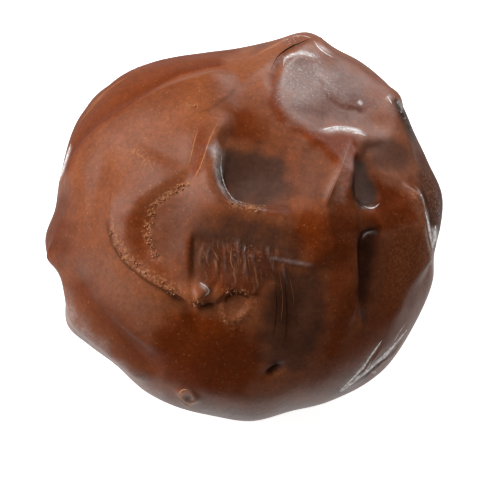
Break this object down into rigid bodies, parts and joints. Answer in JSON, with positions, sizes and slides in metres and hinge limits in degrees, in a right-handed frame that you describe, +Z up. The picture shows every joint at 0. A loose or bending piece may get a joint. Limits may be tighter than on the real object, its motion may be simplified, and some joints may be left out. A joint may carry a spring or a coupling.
{
  "type": "salted caramel truffle",
  "caption": "Hand-dipped round chocolate truffle with a swirled, folded crown and a flat spot underneath to rest on.",
  "frame": {"origin": "middle of the flat spot that the truffle rests on", "axes": "+Z up; the swirled crown leans towards -Y, which is the front; +X is to the right seen from the front"},
  "size_m": [0.0303, 0.0304, 0.0252],
  "materials": {
    "chocolate": "satin set chocolate, duller on scuffed edges"
  },
  "bodies": {
    "root": {"truffle": "chocolate"}
  },
  "joints": []
}
